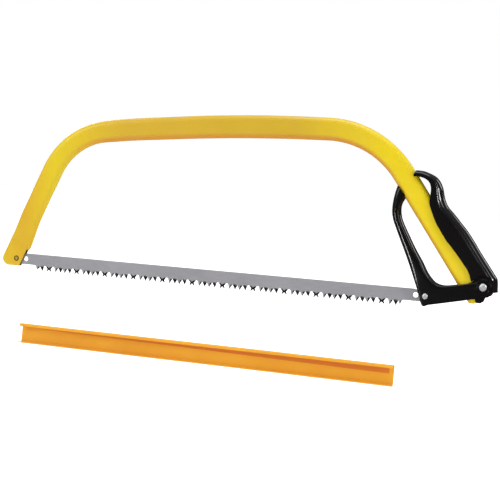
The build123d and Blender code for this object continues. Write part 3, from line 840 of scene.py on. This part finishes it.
PANEL_BANDS = ((-6.2, -2.7), (-1.8, 1.8), (2.7, 6.2))    # across the panel


def guard_section(row, width, count=40):
    half_depth, power = row[4], row[5]
    points = []
    for k in range(count + 1):
        b = math.pi * k / count
        cosine = math.cos(b)
        reach = math.copysign(abs(cosine) ** (2 / power), cosine) * width / 2
        y = half_depth * math.sin(b) ** (2 / power) if 0 < k < count else 0.0
        points.append((width / 2 - reach, y))
    return points


def saddle():
    """Cylinder along the rear leg's inner edge."""
    count = 40
    verts = [(x + across * UP_Z, y, z - across * UP_X)
             for x, z in (leg(122, -8.1), leg(200, -8.1))
             for across, y in circle((0, 0), 7.9, count)]
    caps = [list(range(count))[::-1], list(range(count, 2 * count))]
    return mesh_object("saddle", verts, walls(2, count) + caps, BLACK)


def panel_cutters():
    """Three shallow grooves in each outer face of the cheeks."""
    cosine, sine = math.cos(PANEL_TILT), math.sin(PANEL_TILT)
    tools = []
    for y0, y1 in ((-14, -11.65), (11.65, 14)):
        for low, high in PANEL_BANDS:
            corners = [(-PANEL_HALF_LENGTH, low), (PANEL_HALF_LENGTH, low),
                       (PANEL_HALF_LENGTH, high), (-PANEL_HALF_LENGTH, high)]
            outline = [(PANEL_CENTRE[0] + x * cosine - z * sine,
                        PANEL_CENTRE[1] + x * sine + z * cosine) for x, z in corners]
            tools.append(cutter(outline, y0, y1))
    return tools


def build_guard():
    guard = loft("guard_moulding", GUARD_ROWS, guard_section, 6)
    cheek_end = disc(LINK_PIVOT, 10.5, 12.2, 96)
    bevel(cheek_end, width=0.9, segments=3)
    apply_modifiers(cheek_end)
    boolean(guard, [cheek_end, cutter(CHEEK_TOE, -12.1, 12.1)], "UNION")
    behind = [leg(122, -7.9), leg(200, -7.9), leg(200, 60), leg(122, 60)]
    blade_slot = [(560, -40), (633, -40), (633, 10.5), (560, 10.5)]
    pocket = [leg(60, -17.6), leg(-60, -17.6), (760, -80), (760, 120)]
    boolean(guard, [saddle(), cutter(behind, -20, 20), cutter(blade_slot, -1.6, 1.6),
                    cutter(pocket, -9.9, 9.9)] + panel_cutters()
            + [disc(HEEL_PIN, PIN_HOLE_RADIUS, 20, 40), disc(LINK_PIVOT, 3.05, 20, 40)])
    shade(guard, 32)
    return guard


def build_ring(name, centre, inner, outer, y_base, y_face, material, count=64):
    """Flat ring standing on y_base, its face chamfered on both edges."""
    shoulder = y_face - (y_face - y_base) * 0.35
    profile = [(inner, y_base), (outer, y_base), (outer, shoulder), (outer - 0.3, y_face),
               (inner + 0.3, y_face), (inner, shoulder)]
    verts = [(x, y, z) for radius, y in profile for x, z in circle(centre, radius, count)]
    obj = mesh_object(name, verts, walls(len(profile), count, closed=True), material)
    shade(obj, 35)
    return obj


# ------------------------------------------------------------------ assembly
def attach(obj, part, replaces=None):
    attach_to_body(obj, part)
    if replaces:
        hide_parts(replaces)


attach(build_tube(), "frame", "bow_tube")
root_line, tooth_list = tooth_layout()
plate = build_plate(root_line)
teeth = build_teeth(tooth_list)
attach(plate, "blade", "saw_blade")
attach(teeth, "blade")
attach(build_cover(), "cover", "blade_cover")
guard = build_guard()
attach(guard, "guard", "hand_guard")
for label, side in (("near", -1), ("far", 1)):
    # painted shadow: a dark ring round each end of the toe pin stands in for the shadowed gap
    # round it
    attach(build_ring("toe_pin_shadow_ring_" + label, TOE_PIN, 2.35, 3.9, side * 3.15, side * 3.45,
                      PIN_GAP_SHADOW), "frame")
    attach(build_ring("boss_ring_" + label, LINK_PIVOT, 8.4, 10.1, side * 12.1, side * 12.65,
                      BLACK), "guard")
grip = build_grip()
attach(grip, "lever", "lever_grip")


# ------------------------------------------------------------------ floor and world
def build_floor():
    bpy.ops.mesh.primitive_plane_add(size=30, location=(0.3, 0, -0.19))
    plane = bpy.context.object
    plane.name = "studio_floor"
    material, tree, shader = new_material("studio_floor", {
        "Base Color": (0.9, 0.9, 0.9, 1), "Roughness": 0.9, "Specular IOR Level": 0.0,
        "Emission Color": (1, 1, 1, 1)})
    # reads white to the camera but throws little light up into the glossy black parts
    rays = add_node(tree, "LightPath").outputs
    glow = calc(tree, "MULTIPLY_ADD", rays["Is Camera Ray"], 0.42, 0.12)
    set_inputs(tree, shader, {"Emission Strength": glow})
    dark = add_node(tree, "Emission", {"Color": (0.10, 0.10, 0.105, 1)})
    mixed = add_node(tree, "MixShader", {0: rays["Is Glossy Ray"], 1: shader.outputs[0],
                                         2: dark.outputs[0]})
    output = next(n for n in tree.nodes if n.type == "OUTPUT_MATERIAL")
    set_inputs(tree, output, {"Surface": mixed.outputs[0]})
    plane.data.materials.append(material)
    return plane


def build_world():
    """A tent: dim at the horizon, bright overhead, dimmer in reflections, white to the camera."""
    world = bpy.data.worlds.new("studio")
    SCENE.world = world
    world.use_nodes = True
    tree = world.node_tree
    height = split_xyz(tree, add_node(tree, "TexCoord").outputs["Generated"])["Z"]
    tent = ramp(tree, height, [(0.0, (0.30, 0.30, 0.31)), (0.25, (0.34, 0.34, 0.35)),
                               (0.62, grey(0.85)), (1.0, grey(1.0))])
    reflected = ramp(tree, height, [(0.0, (0.05, 0.05, 0.052)), (0.35, grey(0.07)),
                                    (0.75, grey(0.30)), (1.0, grey(0.5))])
    rays = add_node(tree, "LightPath").outputs
    seen = mix_color(tree, rays["Is Glossy Ray"], tent, reflected)
    color = mix_color(tree, rays["Is Camera Ray"], seen, (1, 1, 1, 1))
    set_inputs(tree, tree.nodes["Background"], {"Color": color, "Strength": 1.0})


build_floor()
build_world()


# ------------------------------------------------------------------ lights
LIGHT_AIM = (0.34, 0, 0.05)
# name, place, width, power in watts, height (None for a square)
LIGHTS = [
    ("key_left", (-1.5, -1.7, 1.1), 0.4, 11, 1.0),
    ("strip_right", (2.6, -1.1, 0.9), 0.3, 8, 1.3),
    ("top", (0.34, -0.2, 2.2), 1.5, 18, None),
    ("back_left", (-1.4, 1.8, 1.2), 0.6, 9, 1.1),
    ("back_right", (2.1, 1.7, 1.2), 0.6, 9, 1.1)]
# lights that pick out the gloss of one piece and light nothing else:
# name, place, aim, width, power in watts, height, piece
GLOSS_LIGHTS = [
    ("gloss_guard", (-0.34, -1.88, -0.07), (0.6, 0, 0.07), 0.22, 5, 0.2, guard),
    ("gloss_ridge", (1.46, -1.82, 0.22), (0.65, 0, 0.08), 0.16, 11, 0.7, grip),
    ("gloss_hook", (2.33, -0.93, 0.57), (0.62, 0, 0.14), 0.4, 14, 0.35, grip)]


def area_light(name, place, aim, width, power, height):
    data = bpy.data.lights.new(name, "AREA")
    data.energy = power
    data.size = width
    if height:
        data.shape = "RECTANGLE"
        data.size_y = height
    light = bpy.data.objects.new(name, data)
    SCENE.collection.objects.link(light)
    light.location = place
    light.rotation_euler = (Vector(aim) - Vector(place)).to_track_quat("-Z", "Y").to_euler()
    light.visible_camera = False
    return light


for name, place, width, power, height in LIGHTS:
    area_light(name, place, LIGHT_AIM, width, power, height)
for *settings, piece in GLOSS_LIGHTS:
    light = area_light(*settings)
    receivers = bpy.data.collections.new(light.name + "_on")
    receivers.objects.link(piece)
    light.light_linking.receiver_collection = receivers


# ------------------------------------------------------------------ camera
def build_camera(target, distance, azimuth, elevation, roll, lens):
    """Camera looking at target; azimuth turns from -Y towards +X, angles in degrees."""
    azimuth, elevation, roll = map(math.radians, (azimuth, elevation, roll))
    data = bpy.data.cameras.new("view")
    camera = bpy.data.objects.new("view", data)
    SCENE.collection.objects.link(camera)
    back = Vector((math.sin(azimuth) * math.cos(elevation),
                   -math.cos(azimuth) * math.cos(elevation), math.sin(elevation)))
    place = Vector(target) + back * distance
    level = (-back).cross(Vector((0, 0, 1))).normalized()
    upright = level.cross(-back)
    right = level * math.cos(roll) + upright * math.sin(roll)
    up = -level * math.sin(roll) + upright * math.cos(roll)
    camera.matrix_world = Matrix((*zip(right, up, back, place), (0, 0, 0, 1)))
    data.lens = lens
    data.sensor_width = 36
    data.clip_start = 0.05
    data.clip_end = 50
    SCENE.camera = camera


build_camera(target=(0.360245, 0, 0.040264), distance=1.61104, azimuth=19.232,
             elevation=3.2015, roll=3.674, lens=84.85)
SCENE.view_settings.view_transform = "Standard"
SCENE.view_settings.look = "None"
SCENE.view_settings.exposure = 0
SCENE.view_settings.gamma = 1
